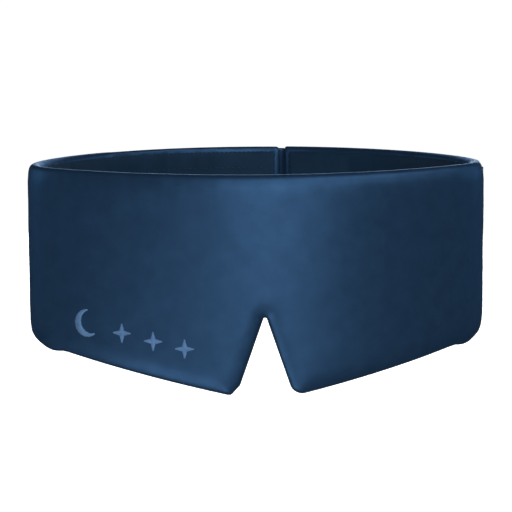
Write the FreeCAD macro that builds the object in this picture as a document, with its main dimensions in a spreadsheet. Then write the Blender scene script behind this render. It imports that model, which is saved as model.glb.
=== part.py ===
import FreeCAD, Part
import os

import Sketcher
from FreeCAD import Placement, Rotation, Vector

# Padded satin sleep mask: a deep front panel that two padded straps carry on round the head.
# The straps meet at the back in a hook and loop closure.
# +Z is up, the front faces -Y, and the origin is the middle of the ring at half the front's height.
# The wearer's right is at -X, where the inner strap is sewn on, and the outer strap is at +X.

sizes = {
    # plan of the ring, on its outer face: a front arc, two temple bends, two side bends, a back arc
    "half_width": 107.5,
    "front_reach": 56.6,
    "back_reach": 96.0,
    "temple_bend": 27.9,
    "side_bend": 69.7,
    # upright outline, from the origin
    "top_rise": 50.0,
    "notch_peak": 15.5,
    "notch_slope": 0.365,
    "lobe_drop": 53.2,
    "hem_slope": 0.212,
    "temple_inset": 12.5,
    "temple_rise": 5.56,
    "back_drop": 5.0,
    # rounding of the outline
    "notch_round": 1.6,
    "lobe_round": 6.0,
    "temple_round": 24.0,
    # padding and cloth
    "front_padding": 8.0,
    "cloth": 0.5,
    "filling_ease": 0.15,
    "edge_roll": 3.2,
    "strap_roll": 2.9,
    "roll_share": 0.45,
    "blackout_film": 0.6,
    "film_margin": 4.2,
    "seam_valley": 1.2,
    "piping_radius": 0.8,
    # closure, from the outside to the inside
    "tab_web": 1.6,
    "hook_height": 1.4,
    "closure_gap": 0.3,
    "loop_height": 1.2,
    "landing_web": 2.5,
    "facing_cloth": 0.6,
    # places along the back arc, as lengths from its middle, positive towards +X
    "meeting_place": 20.0,
    "landing_clearance": 2.0,
    "landing_start": 76.0,
    "tab_length": 57.0,
    "tab_round": 8.0,
    "tab_hem": 2.0,
    "tab_seam_radius": 0.6,
    "patch_margin": 4.0,
    "patch_corner": 4.0,
    "loop_reach": 70.0,
    "patch_height": 38.0,
    "stitch_inset": 1.5,
    "stitch_width": 0.8,
    "stitch_rise": 0.3,
    # embroidery on the front, along a line parallel to the hem
    "motif_rise": 16.5,
    "moon_place": 80.0,
    "moon_radius": 6.4,
    "moon_bite": 5.4,
    "moon_shift": 2.7,
    "moon_tilt": 0.333,
    "star_place": 64.0,
    "star_pitch": 14.0,
    "star_reach": 4.6,
    "star_waist": 1.5,
    "thread_rise": 0.4,
    # care label inside the front, hanging from the lining's temple side
    "label_set_in": 6.26,
    "label_width": 14.0,
    "label_height": 20.0,
    "label_web": 0.5,
    "label_place": 8.0,
}

doc = FreeCAD.newDocument("sleep_mask")
sheet = doc.addObject("Spreadsheet::Sheet", "Sizes")
for row, (word, value) in enumerate(sizes.items(), start=1):
    sheet.set(f"A{row}", word)
    sheet.set(f"B{row}", str(value))
    sheet.setAlias(f"B{row}", word)
doc.recompute()

star_count = 3
spare = 10.0


def size(word):
    """Expression that reads one named size."""
    return f"Sizes.{word}"


def number(expression):
    """Value of an expression, to place a sketch's geometry before it is bound."""
    found = sheet.evalExpression(expression)
    return float(getattr(found, "Value", found))


def role_plane(body, role):
    """One of the body's own origin planes."""
    return next(item for item in body.Origin.OriginFeatures if item.Role == role)


# Worked sizes of the plan: circles that touch, so the wall has no corner.
width = size("half_width")
strap_padding = "(" + " + ".join(
    size(word) for word in ("tab_web", "hook_height", "closure_gap", "loop_height", "landing_web")) + ")"
temple_centre = f"({width} - {size('temple_bend')})"
side_centre = f"({width} - {size('side_bend')})"
front_bend = (f"((({temple_centre})^2 + {size('front_reach')}^2 - {size('temple_bend')}^2)"
              f" / (2 * ({size('front_reach')} - {size('temple_bend')})))")
back_bend = (f"((({side_centre})^2 + {size('back_reach')}^2 - {size('side_bend')}^2)"
             f" / (2 * ({size('back_reach')} - {size('side_bend')})))")
front_centre = f"({front_bend} - {size('front_reach')})"
back_centre = f"({size('back_reach')} - {back_bend})"
front_turn = f"(atan2({temple_centre}; {front_centre}) / 1 deg)"
back_turn = f"(atan2({side_centre}; -{back_centre}) / 1 deg)"


def back_angle(place):
    """Angle, from +X towards +Y, of a length along the back arc's outer face."""
    return f"(90 - ({place}) / {back_bend} * 180 / pi)"


# Each run of wall: centre, radius of the outer face, first angle and sweep.
front_runs = [
    (f"-{temple_centre}", "0", size("temple_bend"), "180", f"90 - {front_turn}"),
    ("0", front_centre, front_bend, f"270 - {front_turn}", f"2 * {front_turn}"),
    (temple_centre, "0", size("temple_bend"), f"270 + {front_turn}", f"90 - {front_turn}"),
]


def inner_runs(place):
    """The inner strap's wall, from the seam at -X to a place before the middle of the back."""
    return [
        (f"-{side_centre}", "0", size("side_bend"), f"90 + {back_turn}", f"90 - {back_turn}"),
        ("0", back_centre, back_bend, back_angle(f"-{place}"),
         f"90 + {back_turn} - {back_angle(f'-{place}')}"),
    ]


def outer_runs(place):
    """The outer strap's wall, from the seam at +X to a place past the middle of the back."""
    return [
        (side_centre, "0", size("side_bend"), "0", f"90 - {back_turn}"),
        ("0", back_centre, back_bend, f"90 - {back_turn}", f"{back_angle(place)} - 90 + {back_turn}"),
    ]


def back_run(first, last):
    """One run of the back arc between two places, the second nearer -X."""
    return [("0", back_centre, back_bend, back_angle(first), f"{back_angle(last)} - {back_angle(first)}")]


def polygon(body, role, name, points, offset=None):
    """Closed sketch through points given as pairs of expressions."""
    sketch = body.newObject("Sketcher::SketchObject", name)
    sketch.AttachmentSupport = (role_plane(body, role), "")
    sketch.MapMode = "FlatFace"
    for path, expression in (offset or {}).items():
        sketch.setExpression(path, expression)
    places = [Vector(number(x), number(y), 0) for x, y in points]
    count = len(places)
    for index, place in enumerate(places):
        sketch.addGeometry(Part.LineSegment(place, places[(index + 1) % count]), False)
    for index in range(count):
        sketch.addConstraint(Sketcher.Constraint("Coincident", index, 2, (index + 1) % count, 1))
    for index, (x, y) in enumerate(points):
        for kind, value, expression in (("DistanceX", places[index].x, x), ("DistanceY", places[index].y, y)):
            rule = sketch.addConstraint(Sketcher.Constraint(kind, -1, 1, index, 1, value))
            sketch.setExpression(f"Constraints[{rule}]", expression)
    return sketch


def band(name, runs, near, far, low=f"-{size('top_rise')} - {spare}", high=f"{size('top_rise')} + {spare}"):
    """Wall of the ring between two depths under its outer face, turned run by run about each centre."""
    body = doc.addObject("PartDesign::Body", name)
    for index, (centre_x, centre_y, bend, first, sweep) in enumerate(runs):
        inner, outer = f"{bend} - ({far})", f"{bend} - ({near})"
        corners = [(inner, low), (outer, low), (outer, high), (inner, high)]
        sketch = polygon(body, "XZ_Plane", f"{name}_section_{index}", corners)
        sketch.AttachmentOffset = Placement(Vector(), Rotation(Vector(0, 1, 0), 1))
        sketch.setExpression("AttachmentOffset.Base.x", centre_x)
        sketch.setExpression("AttachmentOffset.Base.z", f"-({centre_y})")
        sketch.setExpression("AttachmentOffset.Rotation.Angle", first)
        turn = body.newObject("PartDesign::Revolution", f"{name}_turn_{index}")
        turn.Profile = sketch
        turn.ReferenceAxis = (sketch, ["V_Axis"])
        turn.setExpression("Angle", sweep)
        doc.recompute()
    body.Tip = turn
    return body


def cut(name, base, tool):
    result = doc.addObject("Part::Cut", name)
    result.Base = base
    result.Tool = tool
    doc.recompute()
    return result


def common(name, base, tool):
    result = doc.addObject("Part::Common", name)
    result.Base = base
    result.Tool = tool
    doc.recompute()
    return result


def fuse(name, base, tool):
    result = doc.addObject("Part::Fuse", name)
    result.Base = base
    result.Tool = tool
    result.Refine = True
    doc.recompute()
    return result


def round_edges(body, base, radius, name, chosen=None):
    """Rounds the edges that a test picks, or every sharp one."""
    fillet = body.newObject("PartDesign::Fillet", name)
    if chosen is None:
        fillet.Base = (base, ["Edge1"])
        fillet.UseAllEdges = True
    else:
        picked = [f"Edge{index}" for index, edge in enumerate(base.Shape.Edges, start=1) if chosen(edge)]
        fillet.Base = (base, picked)
    fillet.setExpression("Radius", radius)
    doc.recompute()
    body.Tip = fillet
    return fillet


def slope_length(slope):
    return f"sqrt(1 + ({slope})^2)"


# Upright outline of the front, each line moved into the panel by an inset.
notch, hem = size("notch_slope"), size("hem_slope")
temple_x = f"({width} - {size('temple_inset')})"
seam_drop = f"({size('lobe_drop')} - {hem} * {temple_x} - {size('temple_rise')})"
rise_slope = f"({size('temple_rise')} / {size('temple_inset')})"


def front_outline(name, inset):
    """Prism of the front's outline: nose notch, two cheek lobes, hem rising to the seams."""
    peak = f"-{size('notch_peak')} + {inset} * {slope_length(notch)} / {notch}"
    lobe_x = (f"(({notch} * ({size('lobe_drop')} - {size('notch_peak')})"
              f" + {inset} * ({slope_length(notch)} - {notch} * {slope_length(hem)}))"
              f" / (1 + {notch} * {hem}))")
    lobe_z = f"-{size('lobe_drop')} + {hem} * {lobe_x} + {inset} * {slope_length(hem)}"
    bend_x = (f"({temple_x} + {inset} * ({slope_length(hem)} - {slope_length(rise_slope)})"
              f" / ({rise_slope} - {hem}))")
    bend_z = f"-{size('lobe_drop')} + {hem} * {bend_x} + {inset} * {slope_length(hem)}"
    end_x = f"({width} + {spare})"
    end_z = f"-{seam_drop} + {rise_slope} * {spare} + {inset} * {slope_length(rise_slope)}"
    top = f"{size('top_rise')} - {inset}"
    right = [(end_x, top), (end_x, end_z), (bend_x, bend_z), (lobe_x, lobe_z)]
    left = [(f"-{x}", z) for x, z in reversed(right)]
    body = doc.addObject("PartDesign::Body", name)
    start = {"AttachmentOffset.Base.z": f"{size('seam_valley')} + {inset}"}
    sketch = polygon(body, "XZ_Plane", f"{name}_sketch", right + [("0", peak)] + left, start)
    prism = body.newObject("PartDesign::Pad", f"{name}_prism")
    prism.Profile = sketch
    prism.setExpression("Length", f"{size('front_reach')} + {spare}")
    doc.recompute()

    def through_at(x):
        def test(edge):
            ends = [vertex.Point for vertex in edge.Vertexes]
            return all(abs(abs(end.x) - x) < 0.01 for end in ends) and abs(ends[0].z - ends[1].z) < 0.01
        return test

    rounds = [("peak", "0", f"{size('notch_round')} + {inset}"),
              ("lobes", lobe_x, f"{size('lobe_round')} - {inset}"),
              ("temples", bend_x, f"{size('temple_round')} + {inset}")]
    last = prism
    for word, x, radius in rounds:
        last = round_edges(body, last, radius, f"{name}_{word}", through_at(number(x)))
    return body


def strap_outline(name, inset):
    """Prism of a strap's outline: level top, hem rising from the seam to the back."""
    body = doc.addObject("PartDesign::Body", name)
    slope = f"(({seam_drop} - {size('back_drop')}) / {size('back_reach')})"
    start = f"{size('seam_valley')} + {inset}"
    finish = f"{size('back_reach')} + {spare}"
    top = f"{size('top_rise')} - {inset}"

    def low(y):
        return f"-{seam_drop} + {slope} * ({y}) + {inset} * {slope_length(slope)}"

    corners = [(start, low(start)), (finish, low(finish)), (finish, top), (start, top)]
    sketch = polygon(body, "YZ_Plane", f"{name}_sketch", corners)
    prism = body.newObject("PartDesign::Pad", f"{name}_prism")
    prism.Profile = sketch
    prism.Midplane = True
    prism.setExpression("Length", f"2 * ({width} + {spare})")
    doc.recompute()
    return body


def rounded(name, base, radius):
    """A solid with every sharp edge rolled over."""
    body = doc.addObject("PartDesign::Body", name)
    body.BaseFeature = base
    doc.recompute()
    round_edges(body, body.Group[0], radius, f"{name}_roll")
    return body


def fitting_roll(roll, thickness, inset):
    """Edge rounding inside an inset, never more than its wall can take."""
    return f"min({roll} - {inset}; {size('roll_share')} * ({thickness} - 2 * {inset}))"


def pad(name, runs, outline, thickness, roll):
    """A pad's outer envelope and the filling inside its cloth, as two solids."""
    shapes = []
    for word, inset in (("envelope", "0"), ("filling", size("cloth"))):
        wall = band(f"{name}_{word}_wall", runs(inset), inset, f"{thickness} - {inset}")
        block = common(f"{name}_{word}_block", wall, outline(f"{name}_{word}_outline", inset))
        shapes.append(rounded(f"{name}_{word}", block, fitting_roll(roll, thickness, inset)))
    return shapes


nodes = {}


def keep(name, item):
    """Names a finished sub-part; its label names its file."""
    item.Label = name
    nodes[name] = item


# ---- front panel ----
front_depth = size("front_padding")
film_far = f"({front_depth} - {size('cloth')})"
film_near = f"({film_far} - {size('blackout_film')})"
front_roll = (f"min({size('edge_roll')}; {size('roll_share')} * ({film_near} - {size('cloth')})"
              f" + {size('cloth')})")
front_envelope, front_filling = pad("front", lambda inset: front_runs, front_outline, front_depth,
                                    front_roll)
front_face = band("front_face", front_runs, f"-{spare}", f"{front_depth} / 2")
front_back = band("front_back", front_runs, f"{front_depth} / 2", f"{front_depth} + {spare}")
keep("front_cover", cut("front_cover_cut", common("front_cover_half", front_envelope, front_face),
                        front_filling))
keep("front_lining", cut("front_lining_cut", common("front_lining_half", front_envelope, front_back),
                         front_filling))
film_wall = band("film_wall", front_runs, film_near, film_far)
keep("blackout_layer", common("blackout_common", film_wall,
                              front_outline("film_outline", size("film_margin"))))
wadding_wall = band("wadding_wall", front_runs, size("cloth"), film_near)
wadding_inset = f"({size('cloth')} + {size('filling_ease')})"
wadding_block = common("wadding_block", wadding_wall, front_outline("wadding_outline", wadding_inset))
wadding_depth = f"({film_near} + {size('cloth')})"
keep("front_wadding", rounded("front_wadding_body", wadding_block,
                              fitting_roll(front_roll, wadding_depth, size("cloth"))))

# ---- inner strap: a pad, then a thin landing that lies under the outer strap's tab ----
cloth = size("cloth")
facing = size("facing_cloth")
landing_near = f"({strap_padding} - {size('landing_web')})"
landing_turn = f"({landing_near} + {facing})"
landing_back = f"({strap_padding} - {facing})"
landing_end = f"({size('meeting_place')} - {size('seam_valley')} - {size('landing_clearance')})"
pad_overlap = f"-{size('landing_start')} - {size('strap_roll')}"


def landing(name, near, far):
    """Layer of the landing, running into the pad as far as its rolled end."""
    wall = band(f"{name}_wall", back_run(landing_end, pad_overlap), near, far)
    return common(f"{name}_sheet", wall, strap_outline(f"{name}_outline", cloth))


inner_envelope, inner_filling = pad(
    "inner", lambda inset: inner_runs(f"({size('landing_start')} + {inset})"), strap_outline,
    strap_padding, size("strap_roll"))
inner_face = band("inner_face", inner_runs(f"({size('landing_start')} - {spare})"), f"-{spare}", landing_turn)
inner_back = band("inner_back", inner_runs(f"({size('landing_start')} - {spare})"), landing_turn,
                  f"{strap_padding} + {spare}")
inner_cover_shell = cut("inner_cover_shell", common("inner_cover_half", inner_envelope, inner_face),
                        inner_filling)
inner_lining_shell = cut("inner_lining_shell", common("inner_lining_half", inner_envelope, inner_back),
                         inner_filling)
cover_sheet = cut("cover_sheet", landing("landing_cover", landing_near, landing_turn), inner_filling)
lining_sheet = cut("lining_sheet", landing("landing_lining", landing_back, strap_padding), inner_filling)
keep("inner_strap_cover", fuse("inner_cover_fuse", inner_cover_shell, cover_sheet))
keep("inner_strap_lining", fuse("inner_lining_fuse", inner_lining_shell, lining_sheet))
keep("inner_strap_wadding", inner_filling)
keep("landing_interfacing", cut("landing_web_cut", landing("landing_web", landing_turn, landing_back),
                                inner_envelope))

# ---- outer strap: one pad that ends where the tab is sewn on ----
outer_end = f"({size('meeting_place')} + {size('seam_valley')})"
outer_envelope, outer_filling = pad("outer", lambda inset: outer_runs(f"({outer_end} + {inset})"),
                                    strap_outline, strap_padding, size("strap_roll"))
outer_face = band("outer_face", outer_runs("0"), f"-{spare}", landing_turn)
keep("outer_strap_cover", cut("outer_cover_cut", common("outer_cover_half", outer_envelope, outer_face),
                              outer_filling))
keep("outer_strap_lining", cut("outer_lining_cut", cut("outer_lining_half", outer_envelope, outer_face),
                               outer_filling))
keep("outer_strap_wadding", outer_filling)


def patch(name, near, far, last, first, margin="0"):
    """Closure piece on the back arc between two places, as tall as the patches, its corners rounded."""
    middle = f"({size('top_rise')} - {size('back_drop')}) / 2"
    half = f"({size('patch_height')} / 2 - {margin})"
    body = band(name, back_run(f"{first} - {margin}", f"{last} + {margin}"), near, far,
                f"{middle} - {half}", f"{middle} + {half}")
    web = number(f"({far}) - ({near})")
    round_edges(body, body.Tip, f"{size('patch_corner')} - {margin}", f"{name}_corners",
                lambda edge: edge.Length < web + 0.01)
    return body


def stitch_line(name, near, far, last, first):
    """Line of thread that follows a patch's edge, inside it."""
    margin = size("stitch_inset")
    return cut(name, patch(f"{name}_outside", near, far, last, first, margin),
               patch(f"{name}_inside", near, far, last, first, f"({margin} + {size('stitch_width')})"))


def post(name, centre_x, centre_y, radius, low, high):
    """Upright round seam roll."""
    roll = doc.addObject("Part::Cylinder", name)
    roll.setExpression("Radius", radius)
    roll.setExpression("Height", f"({high}) - ({low})")
    roll.setExpression("Placement.Base.x", centre_x)
    roll.setExpression("Placement.Base.y", centre_y)
    roll.setExpression("Placement.Base.z", low)
    return roll


# ---- closure ----
loop_near = f"({landing_near} - {size('loop_height')})"
hook_far = f"({size('tab_web')} + {size('hook_height')})"
loop_ends = (f"-{size('loop_reach')}", f"({landing_end} - {size('patch_margin')})")
tab_start = f"({size('meeting_place')} - {size('seam_valley')})"
tab_finish = f"({tab_start} - {size('tab_length')})"
hook_ends = (f"({tab_finish} + {size('patch_margin')})", f"({tab_start} - {size('patch_margin')})")

keep("loop_patch", patch("loop_patch", loop_near, landing_near, *loop_ends))
keep("loop_patch_stitching", stitch_line("loop_stitching", strap_padding,
                                         f"{strap_padding} + {size('stitch_rise')}", *loop_ends))
keep("hook_patch", patch("hook_patch", size("tab_web"), hook_far, *hook_ends))
keep("hook_patch_stitching", stitch_line("hook_stitching", f"-{size('stitch_rise')}", "0", *hook_ends))


def tab_sheet(name, near, far, inset):
    """Layer of the tab: as tall as the strap's end, its free corners rounded."""
    body = band(name, back_run(f"{tab_start} - {inset}", f"{tab_finish} + {inset}"), near, far,
                f"{cloth} + {inset} - {size('back_drop')}", f"{size('top_rise')} - {cloth} - {inset}")
    web = number(f"({far}) - ({near})")
    middle = body.Tip.Shape.BoundBox.Center.x
    round_edges(body, body.Tip, f"{size('tab_round')} - {inset}", f"{name}_corners",
                lambda edge: edge.Length < web + 0.01 and edge.CenterOfMass.x < middle)
    return body


tab_turn = f"({size('tab_web')} - {facing})"
tab_web = tab_sheet("tab_interfacing", facing, tab_turn, size("tab_hem"))
keep("tab_interfacing", tab_web)
keep("tab_cover", cut("tab_cover_cut", tab_sheet("tab_face", "0", tab_turn, "0"), tab_web))
keep("tab_lining", tab_sheet("tab_back", tab_turn, size("tab_web"), "0"))

# ---- seam rolls on the lines that the straps and the tab bend about ----
roll_low = f"{size('edge_roll')} - {seam_drop}"
roll_high = f"{size('top_rise')} - {size('edge_roll')}"
keep("inner_strap_seam", post("inner_seam", f"{strap_padding} - {width}", "0", size("piping_radius"),
                              roll_low, roll_high))
keep("outer_strap_seam", post("outer_seam", f"{width} - {size('piping_radius')}", "0",
                              size("piping_radius"), roll_low, roll_high))
tab_axis = f"({back_bend} - {size('tab_seam_radius')})"
tab_angle = f"({size('meeting_place')} / {back_bend} * 180 / pi)"
keep("tab_seam", post("tab_seam", f"{tab_axis} * sin({tab_angle})",
                      f"{back_centre} + {tab_axis} * cos({tab_angle})", size("tab_seam_radius"),
                      f"{size('strap_roll')} - {size('back_drop')}",
                      f"{size('top_rise')} - {size('strap_roll')}"))

# ---- embroidery: a crescent moon and small stars, along a line parallel to the hem ----
thread = band("thread_zone", [front_runs[1]], f"-{size('thread_rise')}", "0")
reach = f"({size('front_reach')} + {spare})"


def motif_height(place):
    return f"({size('motif_rise')} - {size('lobe_drop')} + {hem} * ({place}))"


def moon_disc(name, shift, radius):
    """Round prism through the front at the moon's place."""
    disc = doc.addObject("Part::Cylinder", name)
    disc.Placement.Rotation = Rotation(Vector(1, 0, 0), 90)
    disc.setExpression("Radius", radius)
    disc.setExpression("Height", reach)
    disc.setExpression("Placement.Base.x", f"{shift} - {size('moon_place')}")
    disc.setExpression("Placement.Base.z", f"{motif_height(size('moon_place'))} + {shift} * {size('moon_tilt')}")
    return disc


moon = cut("moon_outline", moon_disc("moon_full", "0", size("moon_radius")),
           moon_disc("moon_shade", size("moon_shift"), size("moon_bite")))
keep("embroidered_moon", common("moon_common", moon, thread))
for index in range(star_count):
    name = f"embroidered_star_{index + 1}"
    place = f"({size('star_place')} - {index} * {size('star_pitch')})"
    height = motif_height(place)
    long, short = size("star_reach"), size("star_waist")
    steps = [(long, "0"), (short, short), ("0", long), (f"-{short}", short),
             (f"-{long}", "0"), (f"-{short}", f"-{short}"), ("0", f"-{long}"), (short, f"-{short}")]
    star = doc.addObject("PartDesign::Body", f"{name}_prism")
    sketch = polygon(star, "XZ_Plane", f"{name}_sketch", [(f"{x} - {place}", f"{z} + {height}") for x, z in steps])
    through = star.newObject("PartDesign::Pad", f"{name}_through")
    through.Profile = sketch
    through.setExpression("Length", reach)
    doc.recompute()
    keep(name, common(f"{name}_common", star, thread))

# ---- care label, blank, on the lining ----
label_sweep = f"{size('label_width')} / {front_bend} * 180 / pi"
label_start = f"{size('label_set_in')} / {front_bend} * 180 / pi"
label_run = [("0", front_centre, front_bend, f"270 - {front_turn} + {label_start}", label_sweep)]
keep("care_label", band("label", label_run, front_depth, f"{front_depth} + {size('label_web')}",
                        f"-{size('label_place')} - {size('label_height')}", f"-{size('label_place')}"))

# ---- checks and files ----
doc.recompute()
for item in doc.Objects:
    if "Invalid" in item.State or "Error" in item.State:
        raise RuntimeError(f"{item.Label} failed: {item.State}")
for name, item in nodes.items():
    if item.Shape.isNull() or not item.Shape.isValid() or len(item.Shape.Solids) != 1:
        raise RuntimeError(f"{name} is not one sound solid")
os.makedirs("parts", exist_ok=True)
for name, item in nodes.items():
    item.Shape.exportStep(f"parts/{name}.step")
    box = item.Shape.BoundBox
    print(f"{name}: {item.Shape.Volume:.0f} mm3, x {box.XMin:.1f} {box.XMax:.1f},"
          f" y {box.YMin:.1f} {box.YMax:.1f}, z {box.ZMin:.1f} {box.ZMax:.1f}")
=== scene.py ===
import math
import bmesh
import bpy
import numpy as np
from mathutils import Matrix, Vector
from mathutils.geometry import delaunay_2d_cdt


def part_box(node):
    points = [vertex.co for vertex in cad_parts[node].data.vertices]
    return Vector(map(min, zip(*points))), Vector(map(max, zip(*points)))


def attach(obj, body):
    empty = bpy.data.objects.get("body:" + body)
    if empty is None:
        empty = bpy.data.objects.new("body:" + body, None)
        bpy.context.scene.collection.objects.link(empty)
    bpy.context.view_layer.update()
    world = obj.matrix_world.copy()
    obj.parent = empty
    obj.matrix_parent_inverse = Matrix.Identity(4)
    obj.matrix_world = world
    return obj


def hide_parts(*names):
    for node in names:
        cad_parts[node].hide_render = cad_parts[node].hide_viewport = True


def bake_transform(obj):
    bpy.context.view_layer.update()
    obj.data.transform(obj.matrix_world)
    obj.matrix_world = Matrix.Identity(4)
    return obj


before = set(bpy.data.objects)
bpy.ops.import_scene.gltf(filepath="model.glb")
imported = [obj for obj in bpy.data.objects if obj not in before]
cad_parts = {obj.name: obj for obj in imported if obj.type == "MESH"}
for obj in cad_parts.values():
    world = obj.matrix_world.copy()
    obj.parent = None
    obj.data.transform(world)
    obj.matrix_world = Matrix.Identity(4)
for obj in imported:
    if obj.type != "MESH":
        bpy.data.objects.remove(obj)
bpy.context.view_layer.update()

scene = bpy.context.scene
mm = 0.001
dice = np.random.default_rng(41)

# Plan of the ring on its outer face: reaches from the frame's boxes, and the bends between them.
ring = {
    "halfWidth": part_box("front_cover")[1].x + 0.6 * mm,  # filled cloth stands a little proud
    "frontReach": -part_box("front_cover")[0].y,
    "backReach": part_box("tab_cover")[1].y,
    "templeBend": 27.9 * mm,
    "sideBend": 69.7 * mm,
    "easing": 4 * mm,  # how far the bends run into each other
    "points": 2400,
    "arcStep": 0.3 * mm,
}


def planLoop():
    # Five circles that touch, from the front's middle round by +X and back.
    a, front, back = ring["halfWidth"], ring["frontReach"], ring["backReach"]
    temple, side = ring["templeBend"], ring["sideBend"]
    frontBend = ((a - temple) ** 2 + front ** 2 - temple ** 2) / (2 * (front - temple))
    backBend = ((a - side) ** 2 + back ** 2 - side ** 2) / (2 * (back - side))
    frontTurn = math.atan2(a - temple, frontBend - front)
    backTurn = math.atan2(a - side, backBend - back)
    runs = [((0, frontBend - front), frontBend, -math.pi / 2, frontTurn),
            ((a - temple, 0), temple, frontTurn - math.pi / 2, math.pi / 2 - frontTurn),
            ((a - side, 0), side, 0, math.pi / 2 - backTurn),
            ((0, back - backBend), backBend, math.pi / 2 - backTurn, backTurn)]
    half = []
    for (cx, cy), bend, first, sweep in runs:
        turn = first + np.linspace(0, sweep, max(int(bend * sweep / ring["arcStep"]), 8), endpoint=False)
        half.append(np.stack([cx + bend * np.cos(turn), cy + bend * np.sin(turn)], 1))
    half = np.vstack(half + [np.array([[0, back]])])
    loop = np.vstack([half, half[-2:0:-1] * [-1, 1]])
    closed = np.vstack([loop, loop[:1]])
    length = np.concatenate([[0], np.cumsum(np.linalg.norm(np.diff(closed, axis=0), axis=1))])
    even = np.linspace(0, length[-1], ring["points"], endpoint=False)
    loop = np.stack([np.interp(even, length, closed[:, k]) for k in range(2)], 1)
    reach = ring["easing"] / (length[-1] / ring["points"])
    offset = np.arange(ring["points"])
    offset = np.minimum(offset, ring["points"] - offset)
    weight = np.exp(-0.5 * (offset / reach) ** 2)
    weight /= weight.sum()
    loop = np.stack([np.fft.ifft(np.fft.fft(loop[:, k]) * np.fft.fft(weight)).real for k in range(2)], 1)
    return loop


planPoints = planLoop()
planSteps = np.linalg.norm(np.roll(planPoints, -1, 0) - planPoints, axis=1)
planRound = planSteps.sum()
planPlace = np.concatenate([[0], np.cumsum(planSteps)])
planTangent = np.roll(planPoints, -1, 0) - np.roll(planPoints, 1, 0)
planTangent /= np.linalg.norm(planTangent, axis=1)[:, None]
planNormal = np.stack([planTangent[:, 1], -planTangent[:, 0]], 1)
halfRound = planRound / 2


def onPlan(table, s):
    s = np.mod(s, planRound)
    return np.stack([np.interp(s, planPlace, np.append(table[:, k], table[0, k])) for k in range(2)], -1)


def place(s, depth, z):
    # A point of the ring: run along its outer face, depth under that face, and height.
    s, depth, z = np.broadcast_arrays(np.asarray(s, float), depth, z)
    flat = onPlan(planPoints, s) - onPlan(planNormal, s) * depth[..., None]
    return np.concatenate([flat, z[..., None]], -1)


seamRun = float(np.interp(0, planPoints[:len(planPoints) // 2, 1], planPlace[:len(planPoints) // 2]))

# The top edge and the hem along the ring, heights from the frame's middle.
band = {
    "top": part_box("front_cover")[1].z,
    "topDip": 1.2 * mm,
    "backRise": 0.6 * mm,
    "lobeDrop": 53.2 * mm,
    "hemSlope": 0.212,
    "templeInset": 12.5 * mm,
    "templeRise": 5.56 * mm,
    "hemBend": 2.5 * mm,  # how gently the hem turns up at the temple
    "backDrop": 5 * mm,
    "notchPeak": 13.7 * mm,
    "notchAside": 0.1 * mm,
    "notchSlope": 0.365,
}
band["seamDrop"] = (band["lobeDrop"] - band["hemSlope"] * (ring["halfWidth"] - band["templeInset"])
                    - band["templeRise"])


def topHeight(s):
    x = np.abs(onPlan(planPoints, s)[..., 0]) / ring["halfWidth"]
    y = onPlan(planPoints, s)[..., 1]
    front = -band["topDip"] * (1 - x ** 2) * (y < 0)
    return band["top"] + front + band["backRise"] * np.clip(y / ring["backReach"], 0, 1) ** 2


def hemHeight(s):
    flat = onPlan(planPoints, s)
    x = np.abs(flat[..., 0])
    bendX = ring["halfWidth"] - band["templeInset"]
    slope = band["hemSlope"] + (band["templeRise"] / band["templeInset"] - band["hemSlope"]) / (
        1 + np.exp(-(x - bendX) / band["hemBend"]))
    front = -band["lobeDrop"] + band["hemSlope"] * x + (slope - band["hemSlope"]) * np.maximum(x - bendX, 0)
    back = -band["seamDrop"] + (band["seamDrop"] - band["backDrop"]) / ring["backReach"] * flat[..., 1]
    return np.where(flat[..., 1] < 0, front, back) - fullness(flat)


# The hem of a filled pad hangs a little below its pattern, most at the temples' lower corners.
hang = {
    "hem": 0.8 * mm,
    "corner": 2.7 * mm,
    "cornerStart": 91 * mm,
    "cornerReach": 10 * mm,
    "backReach": 85 * mm,  # nothing hangs from here on
}


def smooth(t):
    return t * t * (3 - 2 * t)


def easeIn(u, first, last):
    return smooth(np.clip((u - first) / (last - first), 0, 1))


def fullness(flat):
    x, y = np.abs(flat[..., 0]), flat[..., 1]
    corner = smooth(np.clip((x - hang["cornerStart"]) / hang["cornerReach"], 0, 1))
    back = np.clip(y / hang["backReach"], 0, 1)
    return (hang["hem"] + hang["corner"] * corner) * (1 - back)


flatCorner = 1.53  # half angle past which a corner is as good as straight
arcShare = 0.48  # most of a run that one corner's arc may take


def roundedLoop(corners, step):
    # Closed outline through corners (u, z, radius), straight runs divided and corners turned as arcs.
    points = []
    count = len(corners)
    for index, (u, z, radius) in enumerate(corners):
        here = np.array([u, z])
        before = np.array(corners[index - 1][:2]) - here
        after = np.array(corners[(index + 1) % count][:2]) - here
        lengths = np.linalg.norm(before), np.linalg.norm(after)
        before, after = before / lengths[0], after / lengths[1]
        half = math.acos(np.clip(before @ after, -1, 1)) / 2
        if radius <= 0 or half > flatCorner:
            points.append(here)
            continue
        reach = min(radius / math.tan(half), arcShare * min(lengths))
        radius = reach * math.tan(half)
        first, last = here + before * reach, here + after * reach
        centre = here + (before + after) / np.linalg.norm(before + after) * radius / math.sin(half)
        parts = max(int(2 * (math.pi / 2 - half) * radius / (0.6 * step)), 5)
        for k in range(parts + 1):
            mix = first + (last - first) * k / parts
            points.append(centre + (mix - centre) / np.linalg.norm(mix - centre) * radius)
    points = np.array(points)
    result = []
    for index, here in enumerate(points):
        after = points[(index + 1) % len(points)]
        pieces = max(int(round(np.linalg.norm(after - here) / step)), 1)
        for k in range(pieces):
            result.append(here + (after - here) * k / pieces)
    return np.array(result)


def lineNoise(x, pitch, seed, cells=4096):
    # Smooth random values along a line, -1 to 1.
    table = np.random.default_rng(seed).uniform(-1, 1, cells)
    cell = np.floor(x / pitch).astype(int)
    mix = smooth(x / pitch - cell)
    return table[cell % cells] * (1 - mix) + table[(cell + 1) % cells] * mix


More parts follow.
